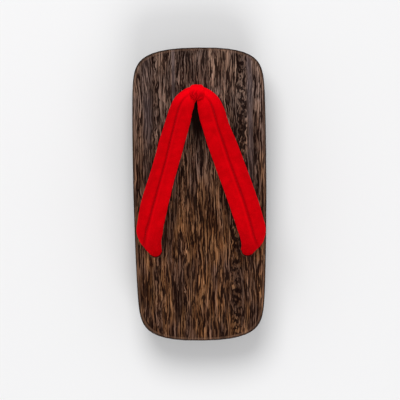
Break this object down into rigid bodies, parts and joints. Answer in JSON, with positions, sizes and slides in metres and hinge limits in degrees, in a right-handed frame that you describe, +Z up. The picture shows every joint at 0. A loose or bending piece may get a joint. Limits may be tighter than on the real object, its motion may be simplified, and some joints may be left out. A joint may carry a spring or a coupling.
{
  "type": "geta sandal",
  "caption": "Wooden geta sandal: a rounded-rectangle board on two cross-wise teeth, with a padded cloth thong strap in a V.",
  "frame": {"origin": "middle of the bounding box on the floor, under the board's middle", "axes": "+Y to the toe end, +X to the right seen from above with the toe away from the viewer, +Z up"},
  "size_m": [0.114, 0.25, 0.094],
  "materials": {
    "wood": "charred and brushed softwood, matt",
    "strap_cloth": "short-pile red cloth",
    "cord": "twisted hemp cord"
  },
  "bodies": {
    "root": {"board": "wood", "front_tooth": "wood", "rear_tooth": "wood", "thong_strap": "strap_cloth", "toe_loop": "strap_cloth", "front_cord": "cord", "left_cord": "cord", "right_cord": "cord"}
  },
  "joints": []
}
